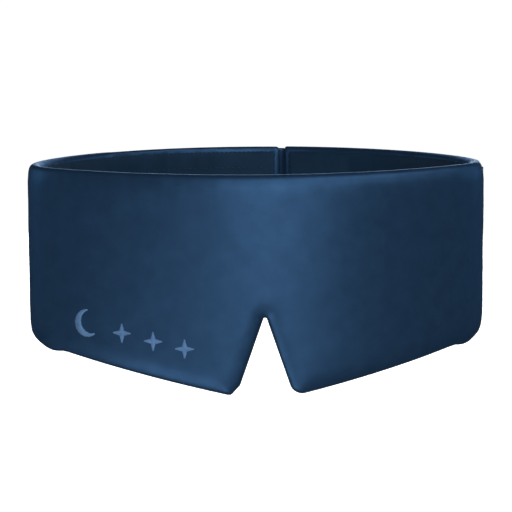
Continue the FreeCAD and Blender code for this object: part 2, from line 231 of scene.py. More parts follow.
def fieldNoise(u, z, pitch, seed, cells=256):
    # Smooth random values over the cloth, -1 to 1.
    table = np.random.default_rng(seed).uniform(-1, 1, (cells, cells))
    cellU, cellZ = np.floor(u / pitch).astype(int), np.floor(z / pitch).astype(int)
    mixU, mixZ = smooth(u / pitch - cellU), smooth(z / pitch - cellZ)
    nextU, nextZ = (cellU + 1) % cells, (cellZ + 1) % cells
    cellU, cellZ = cellU % cells, cellZ % cells
    low = table[cellU, cellZ] * (1 - mixU) + table[nextU, cellZ] * mixU
    high = table[cellU, nextZ] * (1 - mixU) + table[nextU, nextZ] * mixU
    return low * (1 - mixZ) + high * mixZ


def edgeDistance(points, loop, chosen=None, batch=2000):
    # For each point: distance to the outline, and how far along the outline the nearest place is.
    side = np.roll(loop, -1, 0) - loop
    sizes = np.linalg.norm(side, axis=1)
    along = np.concatenate([[0], np.cumsum(sizes)])[:-1]
    if chosen is not None:
        loop, side, sizes, along = loop[chosen], side[chosen], sizes[chosen], along[chosen]
    best = np.full(len(points), 1e9)
    where = np.zeros(len(points))
    for start in range(0, len(points), batch):
        part = points[start:start + batch]
        reach = part[:, None] - loop[None]
        t = np.clip((reach * side[None]).sum(-1) / (sizes ** 2)[None], 0, 1)
        gap = np.linalg.norm(reach - side[None] * t[..., None], axis=-1)
        pick = gap.argmin(1)
        rows = np.arange(len(part))
        best[start:start + batch] = gap[rows, pick]
        where[start:start + batch] = along[pick] + t[rows, pick] * sizes[pick]
    return best, where


netting = {
    "clear": 0.985,  # share of its own distance that a ring's point keeps from the edge
    "ringSpacing": 0.45,
    "insideGap": 0.6,
    "weld": 1e-7,
}


def clothNet(loop, ringSteps, pitch):
    # Triangles that fill an outline: rings close to its edge, and an even net inside.
    ahead = np.roll(loop, -1, 0) - np.roll(loop, 1, 0)
    ahead /= np.linalg.norm(ahead, axis=1)[:, None]
    inward = np.stack([-ahead[:, 1], ahead[:, 0]], 1)
    twist = (loop[:, 0] * np.roll(loop[:, 1], -1) - np.roll(loop[:, 0], -1) * loop[:, 1]).sum()
    inward *= np.sign(twist)
    kept = [loop]
    for step in ringSteps:
        points = loop + inward * step
        gap, _ = edgeDistance(points, loop)
        good = points[gap > netting["clear"] * step]
        spaced = [good[0]]
        for point in good[1:]:
            if np.linalg.norm(point - spaced[-1]) > netting["ringSpacing"] * max(step, 0.5 * pitch):
                spaced.append(point)
        kept.append(np.array(spaced))
    low, high = loop.min(0), loop.max(0)
    us = np.arange(low[0], high[0], pitch)
    zs = np.arange(low[1], high[1], pitch * math.sqrt(3) / 2)
    net = np.array([(u + (row % 2) * pitch / 2, z) for row, z in enumerate(zs) for u in us])
    gap, _ = edgeDistance(net, loop)
    inside = insideLoop(net, loop) & (gap > ringSteps[-1] + netting["insideGap"] * pitch)
    kept.append(net[inside])
    points = np.vstack(kept)
    rim = len(loop)
    found = delaunay_2d_cdt([Vector(p) for p in points], [], [list(range(rim))], 1, netting["weld"])
    verts = np.array([tuple(v) for v in found[0]])
    origin = [source[0] if source else -1 for source in found[3]]
    isRim = np.array([0 <= o < rim for o in origin])
    return verts, [tuple(face) for face in found[2]], isRim


def insideLoop(points, loop):
    after = np.roll(loop, -1, 0)
    count = np.zeros(len(points), int)
    for (x0, z0), (x1, z1) in zip(loop, after):
        if z0 == z1:
            continue
        crosses = (points[:, 1] >= min(z0, z1)) & (points[:, 1] < max(z0, z1))
        x = x0 + (points[:, 1] - z0) * (x1 - x0) / (z1 - z0)
        count += crosses & (points[:, 0] < x)
    return count % 2 == 1


def newMesh(name, verts, faces, cloth=None, smooth=True):
    mesh = bpy.data.meshes.new(name)
    mesh.from_pydata([tuple(v) for v in verts], [], [tuple(f) for f in faces])
    mesh.validate()
    if cloth is not None:
        flat = np.zeros((len(mesh.vertices), 3), np.float32)
        flat[:len(cloth), :2] = cloth[:len(mesh.vertices)]
        mesh.attributes.new("cloth", "FLOAT_VECTOR", "POINT").data.foreach_set("vector", flat.ravel())
    mesh.shade_smooth() if smooth else mesh.shade_flat()
    piece = bpy.data.objects.new(name, mesh)
    scene.collection.objects.link(piece)
    return piece


def outward(piece):
    # Face normals turned to the outside of a closed piece.
    work = bmesh.new()
    work.from_mesh(piece.data)
    bmesh.ops.recalc_face_normals(work, faces=work.faces)
    work.to_mesh(piece.data)
    work.free()
    return piece


def borderOf(faces):
    # Outer edges of a net of triangles.
    edges = dict.fromkeys((f[k], f[(k + 1) % 3]) for f in faces for k in range(3))
    return [(a, b) for a, b in edges if (b, a) not in edges]


def closedSheet(name, top, bottom, faces, cloth):
    # Two layers of one net, joined along its edge.
    count = len(top)
    both = list(faces) + [tuple(v + count for v in reversed(f)) for f in faces]
    both += [(b, a, a + count, b + count) for a, b in borderOf(faces)]
    return outward(newMesh(name, np.vstack([top, bottom]), both, np.vstack([cloth, cloth])))


def evenOut(values, faces, fixed, rounds):
    # Averages a value over each point's neighbours, away from the edge.
    pairs = np.array([(f[k], f[(k + 1) % 3]) for f in faces for k in range(3)])
    pairs = np.vstack([pairs, pairs[:, ::-1]])
    count = np.bincount(pairs[:, 0], minlength=len(values))
    for _ in range(rounds):
        mean = np.bincount(pairs[:, 0], values[pairs[:, 1]], minlength=len(values)) / np.maximum(count, 1)
        values = np.where(fixed, values, 0.5 * values + 0.5 * mean)
    return values


padLook = {
    "pitch": 1.9 * mm,  # size of the triangles inside
    "edgePitch": 1.3 * mm,
    "rings": [0.12 * mm, 0.5 * mm, 1.1 * mm, 1.9 * mm, 3.0 * mm, 4.3 * mm],
    "edgeCurve": (2.3, 0.36),  # how full the rolled edge is
    "innerRoll": 0.62,  # the face towards the head turns over a tighter edge
    "seamFullness": 5.0,
    "smoothReach": 2.4 * mm,
    "smoothRounds": 6,
    "swell": 0.35 * mm,  # slow unevenness of the filling
    "swellPitch": (17 * mm, 8 * mm),
    "swellStart": 6 * mm,
    "swellDepth": 4 * mm,  # half thickness at which the swell is whole
    "proud": (2.4, 0.0),  # the outer face stands a little proud of the pattern
    "pucker": 0.16 * mm,  # pulls along the sewn edge
    "puckerPitch": (5.2 * mm, 2.7 * mm),
    "puckerStart": 1.5 * mm,
    "puckerReach": 5 * mm,
}


def crown(gap, roll):
    # Share of the full thickness at a distance from the edge: a full round edge, then a slow swell.
    t = np.clip(gap / roll, 0, 1)
    steep, full = padLook["edgeCurve"]
    return (1 - (1 - t) ** steep) ** full


def steady(value):
    # The same value all along a pad.
    return lambda u: value + 0 * u


def padShape(name, corners, side, outer, inner, roll, sharpEnds=(), seed=1):
    # A closed pad: outline corners in (run, height), outer and inner depth as functions of the run.
    loop = roundedLoop(corners, padLook["edgePitch"])
    flat, faces, rim = clothNet(loop, padLook["rings"], padLook["pitch"])
    gap, along = edgeDistance(flat, loop)
    gap[rim] = 0
    u, z = flat[:, 0], flat[:, 1]
    soft = gap
    if len(sharpEnds):  # next to a cross seam the pad stays full, so the seam is a tight crease
        ends = np.array([np.abs(loop[:, 0] - end) < 0.05 * mm for end in sharpEnds]).any(0)
        across = ends & np.roll(ends, -1)
        soft = np.minimum(edgeDistance(flat, loop, ~across)[0],
                          padLook["seamFullness"] * edgeDistance(flat, loop, across)[0])
        soft[rim] = 0
    thick = (inner(u) - outer(u)) / 2
    middle = (inner(u) + outer(u)) / 2
    shares = [crown(soft, roll(u) * part) for part in (1, padLook["innerRoll"])]
    shares = [evenOut(share, faces, gap < padLook["smoothReach"], padLook["smoothRounds"]) for share in shares]
    fade = np.exp(-gap / padLook["puckerReach"]) * np.clip(gap / padLook["puckerStart"], 0, 1)
    coarse, fine = padLook["puckerPitch"]
    pull = lineNoise(along, coarse, seed) + 0.6 * lineNoise(along, fine, seed + 1)
    calm = np.clip(gap / padLook["swellStart"], 0, 1)
    coarse, fine = padLook["swellPitch"]
    rise = []
    for k in (0, 1):
        wave = fieldNoise(u + k, z, coarse, seed + 2 + k) + 0.5 * fieldNoise(u, z, fine, seed + 4 + k)
        swell = padLook["swell"] * (wave + padLook["proud"][k]) * 0.5 * calm * thick / padLook["swellDepth"]
        rise.append(np.where(rim, 0, shares[k] * thick + padLook["pucker"] * fade * pull + swell))
    front = place(side * u, middle - rise[0], z)
    back = place(side * u, middle + rise[1], z)
    backNumber = np.arange(len(flat))  # the sewn edge's points are shared by both faces
    backNumber[~rim] = len(flat) + np.arange((~rim).sum())
    under = [(backNumber[c], backNumber[b], backNumber[a]) for a, b, c in faces]
    cloth = np.stack([side * u, z], 1)
    piece = outward(newMesh(name, np.vstack([front, back[~rim]]), faces + under, np.vstack([cloth, cloth[~rim]])))
    return {"piece": piece, "flat": flat, "faces": faces, "gap": gap, "rim": rim, "backNumber": backNumber,
            "inside": middle + rise[1], "outside": middle - rise[0], "middle": middle, "side": side}


filling = {
    "pressure": 3.0,
    "start": 0.86,  # share of the full thickness before the filling pushes the cloth out
    "cap": 0.7 * mm,  # furthest a point may end from the pattern's own shape
    "frames": 20,
    "quality": 6,
    "mass": 0.15,
    "bending": 0.3,
}


def fillPad(pad):
    # Cloth blown up from inside, its sewn edge held, then kept as the pad's mesh.
    piece, rim = pad["piece"], pad["rim"]
    mesh = piece.data
    count = len(mesh.vertices)
    full = np.empty(count * 3)
    mesh.vertices.foreach_get("co", full)
    full = full.reshape(-1, 3)
    run = pad["side"] * pad["flat"][:, 0]
    core = place(run, pad["middle"], pad["flat"][:, 1])
    whole = np.vstack([core, core[~rim]])
    mesh.vertices.foreach_set("co", (whole + (full - whole) * filling["start"]).ravel())
    sewn = piece.vertex_groups.new(name="sewn")
    sewn.add([int(v) for v in np.flatnonzero(rim)], 1.0, "REPLACE")
    cloth = piece.modifiers.new("filling", "CLOTH")
    cloth.settings.quality = filling["quality"]
    cloth.settings.mass = filling["mass"]
    cloth.settings.vertex_group_mass = "sewn"
    cloth.settings.use_pressure = True
    cloth.settings.uniform_pressure_force = filling["pressure"]
    cloth.settings.effector_weights.gravity = 0
    cloth.settings.bending_stiffness = filling["bending"]
    cloth.collision_settings.use_collision = False
    cloth.point_cache.frame_start, cloth.point_cache.frame_end = 1, filling["frames"]
    for frameNumber in range(1, filling["frames"] + 1):
        scene.frame_set(frameNumber)
    ready = piece.evaluated_get(bpy.context.evaluated_depsgraph_get()).to_mesh()
    blown = np.empty(count * 3)
    ready.vertices.foreach_get("co", blown)
    blown = blown.reshape(-1, 3)
    piece.modifiers.remove(cloth)
    piece.vertex_groups.remove(sewn)
    scene.frame_set(1)
    move = blown - full
    reach = np.linalg.norm(move, axis=1)
    print("  filled", piece.name, "moved up to", round(reach.max() / mm, 2), "mean", round(reach.mean() / mm, 2))
    move *= (filling["cap"] * np.tanh(reach / filling["cap"]) / np.maximum(reach, 1e-9))[:, None]
    full = full + move
    mesh.vertices.foreach_set("co", full.ravel())
    mesh.update()
    base, normal = onPlan(planPoints, run), onPlan(planNormal, run)
    pad["outside"] = ((base - full[:len(rim), :2]) * normal).sum(1)
    pad["inside"] = ((base - full[pad["backNumber"], :2]) * normal).sum(1)


lining = {"sink": 0.25 * mm, "tuck": 1.6 * mm, "web": 0.3 * mm}


def liningOn(name, pad, edge, lift):
    # A lining panel on a pad's inner face, its edge tucked down into the pad all round.
    keep = [f for f in pad["faces"] if all(pad["gap"][v] >= edge for v in f)]
    used = sorted({v for f in keep for v in f})
    order = {v: k for k, v in enumerate(used)}
    faces = [tuple(order[v] for v in f) for f in keep]
    tuck = smooth(np.clip((pad["gap"][used] - edge) / lining["tuck"], 0, 1))
    tuck[list({v for pair in borderOf(faces) for v in pair})] = 0
    depth, sink = pad["inside"][used], lining["sink"]
    run, z = pad["side"] * pad["flat"][used, 0], pad["flat"][used, 1]
    top = place(run, depth - sink + (lift + sink) * tuck, z)
    bottom = place(run, depth - sink - lining["web"], z)
    return closedSheet(name, top, bottom, faces, np.stack([run, z], 1))


def hemAt(s):
    return float(hemHeight(np.array(s)))


def topAt(s):
    return float(topHeight(np.array(s)))


def edgeRun(height, first, last, step):
    # Outline points along the hem or the top edge from one run to another, without the ends.
    count = max(int(abs(last - first) / step), 2)
    return [(s, height(s), 0) for s in np.linspace(first, last, count + 1)[1:-1]]


def hemRun(first, last):
    return edgeRun(hemAt, first, last, 3 * mm)


def topRun(first, last):
    return edgeRun(topAt, first, last, 6 * mm)


front = {
    "depth": 8 * mm,
    "roll": 8.5 * mm,
    "seamCorner": 0.8 * mm,
    "lobeHang": 0.8 * mm,
    "rightLobe": 6 * mm,
    "rightReach": 10 * mm,
    "leftLobe": 2.2 * mm,
    "leftChamfer": 5 * mm,
    "chamferShares": (1.1, 0.5),  # up the notch's edge, along the hem
    "leftReach": 3 * mm,
    "peakRound": 0.8 * mm,
    "liningEdge": 2.9 * mm,
    "liningLift": 0.45 * mm,
}


def frontCorners():
    # Right lobe, notch, left lobe with its cut corner, and back along the top edge.
    top, hem = topAt(seamRun), hemAt(seamRun)
    slope, hemSlope = band["notchSlope"], band["hemSlope"]
    lobeX = slope * (band["lobeDrop"] - band["notchPeak"]) / (1 + slope * hemSlope)
    lobeZ = -band["lobeDrop"] + hemSlope * lobeX - front["lobeHang"]
    edge, cut = front["seamCorner"], front["leftChamfer"]
    upShare, alongShare = front["chamferShares"]
    notchDown = np.array([-slope, -1]) / math.hypot(slope, 1)
    hemUp = np.array([-1, hemSlope]) / math.hypot(1, hemSlope)
    leftTip = np.array([-lobeX, lobeZ])
    first = leftTip - notchDown * cut * upShare
    second = leftTip + hemUp * cut * alongShare
    right = [(seamRun, top, edge), (seamRun, hem, edge)]
    right += hemRun(seamRun, lobeX + front["rightReach"]) + [(lobeX, lobeZ, front["rightLobe"])]
    peak = [(band["notchAside"], -band["notchPeak"], front["peakRound"])]
    left = [(first[0], first[1], front["leftLobe"]), (second[0], second[1], front["leftLobe"])]
    left += hemRun(-lobeX - cut - front["leftReach"], -seamRun) + [(-seamRun, hem, edge), (-seamRun, top, edge)]
    return (right + peak + left + topRun(-seamRun, seamRun))[::-1]


print("front panel")
frontPad = padShape("frontCover", frontCorners(), 1, steady(0), steady(front["depth"]), steady(front["roll"]),
                    (-seamRun, seamRun), seed=11)
fillPad(frontPad)
frontCover = frontPad["piece"]
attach(frontCover, "mask_front")
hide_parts("front_cover", "front_wadding")
frontLining = liningOn("frontLining", frontPad, front["liningEdge"], front["liningLift"])
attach(frontLining, "mask_front")
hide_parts("front_lining")

strap = {
    "depth": 7 * mm,
    "roll": 7.5 * mm,
    "liningEdge": 1.5 * mm,
    "outerLiningLift": 0.4 * mm,
    "innerLiningLift": 0.3 * mm,
    "seamReach": 11 * mm,  # how far past its seam a strap bends
    "corner": 0.8 * mm,
    "landingRound": 2 * mm,
    "sewnEnd": 1.2 * mm,
    "meeting": 20 * mm,  # from the back's middle, towards +X
    "valley": 1.2 * mm,  # half the gap between the strap ends, where the tab is sewn
    "landingStart": 76 * mm,
    "landingWeb": 2.5 * mm,
    "landingRoll": 2.4 * mm,
    "landingClearance": 0.2 * mm,
    "slope": 9 * mm,  # where the padding thins out
    "slopeEnd": 1 * mm,
}
landingDepth = strap["depth"] - strap["landingWeb"]


def strapCorners(last, endRound):
    # From the temple seam along the top edge to the strap's end, and back along the hem.
    first, edge = seamRun, strap["corner"]
    return ([(first, topAt(first), edge)] + topRun(first, last)
            + [(last, topAt(last), endRound), (last, hemAt(last), endRound)]
            + hemRun(last, first) + [(first, hemAt(first), edge)])


print("outer strap")
outerEnd = halfRound - strap["meeting"] - strap["valley"]
outerPad = padShape("outerStrapCover", strapCorners(outerEnd, strap["sewnEnd"]), 1, steady(0),
                    steady(strap["depth"]), steady(strap["roll"]), (seamRun, outerEnd), seed=31)
fillPad(outerPad)
outerCover = outerPad["piece"]
outerLining = liningOn("outerStrapLining", outerPad, strap["liningEdge"], strap["outerLiningLift"])

print("inner strap")
padEnd = halfRound - strap["landingStart"]
landingEnd = halfRound + strap["meeting"] - strap["valley"] - strap["landingClearance"]


def innerOuter(u):
    return landingDepth * easeIn(u, padEnd - strap["slope"], padEnd + strap["slopeEnd"])


def innerRoll(u):
    return strap["roll"] - (strap["roll"] - strap["landingRoll"]) * easeIn(u, padEnd - strap["slope"], padEnd)


innerPad = padShape("innerStrapCover", strapCorners(landingEnd, strap["landingRound"]), -1, innerOuter,
                    steady(strap["depth"]), innerRoll, (seamRun,), seed=51)
fillPad(innerPad)
innerCover = innerPad["piece"]
innerLining = liningOn("innerStrapLining", innerPad, strap["liningEdge"], strap["innerLiningLift"])
for cover, inside, word, side in ((outerCover, outerLining, "outer", 1), (innerCover, innerLining, "inner", -1)):
    start = Vector(place(side * seamRun, strap["depth"] / 2, 0.01))
    for piece, slot in ((cover, "navy_satin"), (inside, "navy_lining")):
        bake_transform(piece)
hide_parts("outer_strap_cover", "outer_strap_wadding")
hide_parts("outer_strap_lining")
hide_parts("inner_strap_cover", "inner_strap_wadding", "landing_interfacing")
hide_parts("inner_strap_lining")

tab = {
    "web": 1.6 * mm,
    "length": 57 * mm,
    "round": 8 * mm,
    "root": 5 * mm,
    "rootInset": 2.5 * mm,
    "rootCorner": 1 * mm,
    "rootSink": 1.4 * mm,  # the root is held inside the strap's end
    "sinkReach": 7 * mm,
    "roll": 1.3 * mm,
    "inset": 0.5 * mm,
    "shoulder": 0.6 * mm,
    "bend": (-0.3, 0.8, 6 * mm),  # start and end of the bend, as shares of a length past the seam
}
print("closure tab")
tabStart = outerEnd - tab["root"]
tabEnd = halfRound - strap["meeting"] + strap["valley"] + tab["length"]
tabTop, tabLow = band["top"] - tab["inset"], -band["backDrop"] + tab["inset"]
tabCorners = [(tabStart, tabTop - tab["rootInset"], tab["rootCorner"]), (outerEnd + tab["shoulder"], tabTop, 0),
              (tabEnd, tabTop, tab["round"]), (tabEnd, tabLow, tab["round"]),
              (outerEnd + tab["shoulder"], tabLow, 0), (tabStart, tabLow + tab["rootInset"], tab["rootCorner"])]


def tabOuter(u):
    return tab["rootSink"] * (1 - easeIn(u, tabStart, tabStart + tab["sinkReach"]))


def tabInner(u):
    return tab["web"] + tabOuter(u)


tabPad = padShape("closureTab", tabCorners, 1, tabOuter, tabInner, steady(tab["roll"]), seed=71)
closureTab = tabPad["piece"]
bendStart, bendEnd, bendReach = tab["bend"]
pivot = Vector(place(halfRound - strap["meeting"], 0, 0.02))
tabLine = Vector(place(halfRound - strap["meeting"] + bendReach, 0, 0.02)) - pivot
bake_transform(closureTab)
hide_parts("tab_cover", "tab_lining", "tab_interfacing")


def depthAt(pad, u, z, word):
    # Depth of a pad's face at a place, from the four nearest points of its net.
    flat, depth = pad["flat"], pad[word]
    result = []
    for a, b in zip(np.ravel(u), np.ravel(z)):
        gap = (flat[:, 0] - a) ** 2 + (flat[:, 1] - b) ** 2
        near = np.argpartition(gap, 4)[:4]
        weight = 1 / (gap[near] + 1e-9)
        result.append((depth[near] * weight).sum() / weight.sum())
    return np.array(result)


def threads(name, paths, radius, sides=5, flatten=1.0, tip=0.45):
    # Short lengths of thread, each a closed tube along its own path, thinner at its tips.
    verts, faces = [], []
    for path, up in paths:
        path = np.asarray(path)
        ahead = np.gradient(path, axis=0)
        ahead /= np.linalg.norm(ahead, axis=1)[:, None] + 1e-12
        across = np.cross(ahead, up)
        across /= np.linalg.norm(across, axis=1)[:, None] + 1e-12
        lift = np.cross(across, ahead)
        first = len(verts)
        taper = np.ones(len(path))
        taper[0] = taper[-1] = tip
        for point, a, l, size in zip(path, across, lift, taper):
            for k in range(sides):
                turn = 2 * math.pi * (k + 0.5) / sides
                verts.append(point + radius * size * (math.cos(turn) * a + flatten * math.sin(turn) * l))
        for row in range(len(path) - 1):
            for k in range(sides):
                a, b = first + row * sides + k, first + row * sides + (k + 1) % sides
                faces.append((a, b, b + sides, a + sides))
        faces.append(tuple(first + k for k in reversed(range(sides))))
        faces.append(tuple(first + (len(path) - 1) * sides + k for k in range(sides)))
    return outward(newMesh(name, verts, faces))


def upAt(s, sign=1):
    # Straight off the ring's outer face, or into it.
    flat = onPlan(planNormal, np.array(s))
    return np.array([flat[0], flat[1], 0]) * sign


# Satin stitches across each motif, from edge to edge.
embroidery = {
    "pitch": 0.43 * mm,
    "thread": 0.27 * mm,
    "bed": 0.16 * mm,
    "rise": 0.42 * mm,
    "riseShare": (0.45, 4 * mm),  # of a stitch with no length, and the length that adds a whole one
    "moonRadius": 6.4 * mm,
    "moonBite": 5.4 * mm,
    "moonShift": (2.7 * mm, 0.9 * mm),
    "moonRagged": 0.08,  # in millimetres
    "moonTip": 0.5 * mm,
    "starReach": 4.6 * mm,
    "starWaist": 1.5 * mm,
    "starRagged": 0.05,
    "starTip": (0.12 * mm, 0.3 * mm),
    "starMiddle": (0.2 * mm, 0.25 * mm),
}


def runOf(x):
    # Run along the ring of a place on the front's outer face, from its x.
    near = len(planPoints) // 5
    xs = np.concatenate([planPoints[-near:, 0], planPoints[:near, 0]])
    ss = np.concatenate([planPlace[-near - 1:-1] - planRound, planPlace[:near]])
    return float(np.interp(x, xs, ss))


def satinStitch(first, last, centre):
    # One stitch, arched over its middle.
    t = np.linspace(0, 1, 7)
    u = centre[0] + first[0] + (last[0] - first[0]) * t
    z = centre[1] + first[1] + (last[1] - first[1]) * t
    length = math.hypot(last[0] - first[0], last[1] - first[1])
    least, whole = embroidery["riseShare"]
    arch = np.sqrt(np.clip(1 - (2 * t - 1) ** 2, 0, 1)) * embroidery["rise"] * min(1, least + length / whole)
    depth = depthAt(frontPad, u, z, "outside") + embroidery["bed"] - arch
    return place(u, depth, z), upAt(u[3])


def embroider(name, stitches, node):
    piece = threads(name, stitches, embroidery["thread"], 6, 0.8)
    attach(piece, "mask_front")
    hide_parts(node)
    return piece


print("embroidery")
motifs = []
low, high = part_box("embroidered_moon")
moonCentre = (runOf(low.x + embroidery["moonRadius"]), (low.z + high.z) / 2)
bite, ragged = embroidery["moonBite"], embroidery["moonRagged"]
shift = np.array(embroidery["moonShift"])
moonStitches = []
for turn in np.arange(0, 2 * math.pi, embroidery["pitch"] / (0.5 * (bite + embroidery["moonRadius"]))):
    d = np.array([math.cos(turn), math.sin(turn)])
    back = shift[0] * d[0] + shift[1] * d[1]
    reach = -back + math.sqrt(back ** 2 - (shift[0] ** 2 + shift[1] ** 2) + embroidery["moonRadius"] ** 2)
    if reach - bite < embroidery["moonTip"]:
        continue
    edge = dice.uniform(-ragged, ragged, 2) * mm
    moonStitches.append(satinStitch(shift + d * (bite + edge[0]), shift + d * (reach + edge[1]), moonCentre))
motifs.append(embroider("embroideredMoon", moonStitches, "embroidered_moon"))
ragged = embroidery["starRagged"]
blunt, tipGap = embroidery["starTip"]
firstReach, middleWidth = embroidery["starMiddle"]
for index in (1, 2, 3):
    low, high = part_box(f"embroidered_star_{index}")
    starCentre = (runOf((low.x + high.x) / 2), (low.z + high.z) / 2)
    stitches = []
    for axis in range(4):
        ahead = np.array([math.cos(axis * math.pi / 2), math.sin(axis * math.pi / 2)])
        across = np.array([-ahead[1], ahead[0]])
        for reach in np.arange(firstReach, embroidery["starReach"] - tipGap, embroidery["pitch"]):
            wide = embroidery["starWaist"] * (1 - reach / embroidery["starReach"]) + blunt
            wide = min(wide, reach + middleWidth)
            edge = dice.uniform(-ragged, ragged, 2) * mm
            stitches.append(satinStitch(ahead * reach - across * (wide + edge[0]),
                                        ahead * reach + across * (wide + edge[1]), starCentre))
    motifs.append(embroider(f"embroideredStar{index}", stitches, f"embroidered_star_{index}"))

# Hook and loop tape: a base cloth each, with its hooks or its pile standing on it.
closure = {
    "corner": 4 * mm,
    "low": 3.5 * mm,
    "high": 41.5 * mm,
    "margin": 4 * mm,
    "wovenEdge": (0.12 * mm, 0.25 * mm),  # how much thinner, over how wide
    "netRings": [0.25 * mm, 0.8 * mm],
    "netPitch": 2.4 * mm,
    "ease": 0.02 * mm,
    "rooted": 0.05 * mm,
    "hookBase": 0.5 * mm,
    "hookPitch": 1.45 * mm,
    "hookRows": 0.9,
    "hookMargin": 1.9 * mm,
    "hookWire": 0.13 * mm,
    "hookHeight": 0.85 * mm,
    "hookLean": 0.3 * mm,
    "hookBend": 0.26 * mm,
    "hookTurn": (-0.35, math.pi * 1.05),
    "loopBase": 0.55 * mm,
    "loopPitch": 1.15 * mm,
    "loopRows": 0.88,
    "loopMargin": 2.0 * mm,
    "loopWire": 0.075 * mm,
    "loopHeight": 0.62 * mm,
    "loopScatter": 0.25,  # in millimetres, as the widths
    "loopWidths": (0.3, 0.5),
    "loopHeights": (0.75, 1.05),
    "loopOverturn": 0.15,
    "loopStart": 70 * mm,  # from the back's middle
    "loopEndGap": 1.8 * mm,
}


def tapeSheet(name, side, first, last, near, far):
    # Base cloth of a piece of tape, with a thin woven edge.
    corners = [(first, closure["high"], closure["corner"]), (last, closure["high"], closure["corner"]),
               (last, closure["low"], closure["corner"]), (first, closure["low"], closure["corner"])]
    loop = roundedLoop(corners, 2 * mm)
    flat, faces, rim = clothNet(loop, closure["netRings"], closure["netPitch"])
    gap, _ = edgeDistance(flat, loop)
    gap[rim] = 0
    thinner, wide = closure["wovenEdge"]
    edge = thinner * np.clip(1 - gap / wide, 0, 1)
    run, z = side * flat[:, 0], flat[:, 1]
    return closedSheet(name, place(run, near + edge, z), place(run, far - edge, z), faces, flat), loop


def spread(loop, pitch, margin, rows):
    # Places for hooks or loops: staggered rows inside a patch.
    low, high = loop.min(0), loop.max(0)
    points = np.array([(u + (row % 2) * pitch / 2, z)
                       for row, z in enumerate(np.arange(low[1] + margin, high[1] - margin, pitch * rows))
                       for u in np.arange(low[0] + margin, high[0] - margin, pitch)])
    inside = insideLoop(points, loop)
    return points[inside & (edgeDistance(points, loop)[0] > margin)]


def joinOnto(base, *others):
    with bpy.context.temp_override(active_object=base, selected_editable_objects=[base, *others]):
        bpy.ops.object.join()
    return base


print("hook and loop")
hookFirst, hookLast = tabStart + tab["root"] + closure["margin"], tabEnd - closure["margin"]
hookFoot = tab["web"] + closure["hookBase"]
hookPatch, hookLoop = tapeSheet("hookPatch", 1, hookFirst, hookLast, tab["web"] + closure["ease"], hookFoot)
turn = np.linspace(*closure["hookTurn"], 7)
bend = closure["hookBend"]
hooks = []
for u, z in spread(hookLoop, closure["hookPitch"], closure["hookMargin"], closure["hookRows"]):
    lean = closure["hookLean"] * (1 if int(z / closure["hookPitch"]) % 2 else -1)  # rows lean by turns
    du = np.concatenate([[0], lean - math.copysign(bend, lean) * (np.cos(turn) - 1) * 0.9])
    up = np.concatenate([[0], closure["hookHeight"] - bend * 1.2 + bend * np.sin(turn)])
    hooks.append((place(u + du, hookFoot - closure["rooted"] + up, z), upAt(u, -1)))
joinOnto(hookPatch, threads("hooks", hooks, closure["hookWire"], 5))
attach(hookPatch, "closure_tab")
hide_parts("hook_patch")

loopFirst, loopLast = halfRound - closure["loopStart"], landingEnd - closure["margin"] - closure["loopEndGap"]
loopFoot = landingDepth - closure["loopBase"]
loopPatch, loopLoop = tapeSheet("loopPatch", -1, loopFirst, loopLast, loopFoot, landingDepth - closure["ease"])
turn = np.linspace(-closure["loopOverturn"], math.pi + closure["loopOverturn"], 7)
scatter = closure["loopScatter"]
pile = []
for u, z in spread(loopLoop, closure["loopPitch"], closure["loopMargin"], closure["loopRows"]):
    u, z = u + dice.uniform(-scatter, scatter) * mm, z + dice.uniform(-scatter, scatter) * mm
    heading, tall = dice.uniform(0, 2 * math.pi), dice.uniform(*closure["loopHeights"])
    wide = dice.uniform(*closure["loopWidths"]) * mm
    du, dz = wide * np.cos(turn) * math.cos(heading), wide * np.cos(turn) * math.sin(heading)
    up = closure["loopHeight"] * tall * np.sin(turn)
    pile.append((place(-(u + du), loopFoot - up, z + dz), upAt(-u)))
joinOnto(loopPatch, threads("pile", pile, closure["loopWire"], 4))
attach(loopPatch, "inner_strap")
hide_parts("loop_patch")

stitch = {
    "length": 2.3 * mm,
    "gap": 0.75 * mm,
    "thread": 0.24 * mm,
    "inset": 1.5 * mm,
    "proud": 0.1 * mm,
    "sink": (1.1, 0.2, 0, 0, 0.2, 1.1),  # shares of the thread's radius, from one end of a stitch to the other
    "liningGap": 0.3 * mm,
}


def patchStitching(name, node, body, side, first, last, depth, sign):
    # Stitches round a patch, each end pulled down into the cloth.
    inset, low, high = stitch["inset"], closure["low"] + stitch["inset"], closure["high"] - stitch["inset"]
    radius = closure["corner"] - inset
    loop = roundedLoop([(first + inset, high, radius), (last - inset, high, radius),
                        (last - inset, low, radius), (first + inset, low, radius)], 1 * mm)
    ends = np.vstack([loop, loop[:1]])
    along = np.concatenate([[0], np.cumsum(np.linalg.norm(np.diff(ends, axis=0), axis=1))])
    pitch = stitch["length"] + stitch["gap"]
    count = int(along[-1] / pitch)
    pitch = along[-1] / count
    dashes = []
    for k in range(count):
        t = np.linspace(k * pitch, k * pitch + pitch - stitch["gap"], 6)
        u, z = np.interp(t, along, ends[:, 0]), np.interp(t, along, ends[:, 1])
        sink = stitch["thread"] * np.array(stitch["sink"])
        spot = place(side * u, depth(u, z) + sign * (sink - stitch["proud"]), z)
        dashes.append((spot, upAt(side * u[2], sign)))
    piece = threads(name, dashes, stitch["thread"], 6, 0.8)
    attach(piece, body)
    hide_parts(node)
    return piece


def tabFace(u, z):
    return depthAt(tabPad, u, z, "outside")


def landingInside(u, z):
    return depthAt(innerPad, u, z, "inside") + stitch["liningGap"]


print("stitching")
hookStitching = patchStitching("hookPatchStitching", "hook_patch_stitching", "closure_tab", 1, hookFirst, hookLast,
                               tabFace, 1)
loopStitching = patchStitching("loopPatchStitching", "loop_patch_stitching", "inner_strap", -1, loopFirst, loopLast,
                               landingInside, -1)

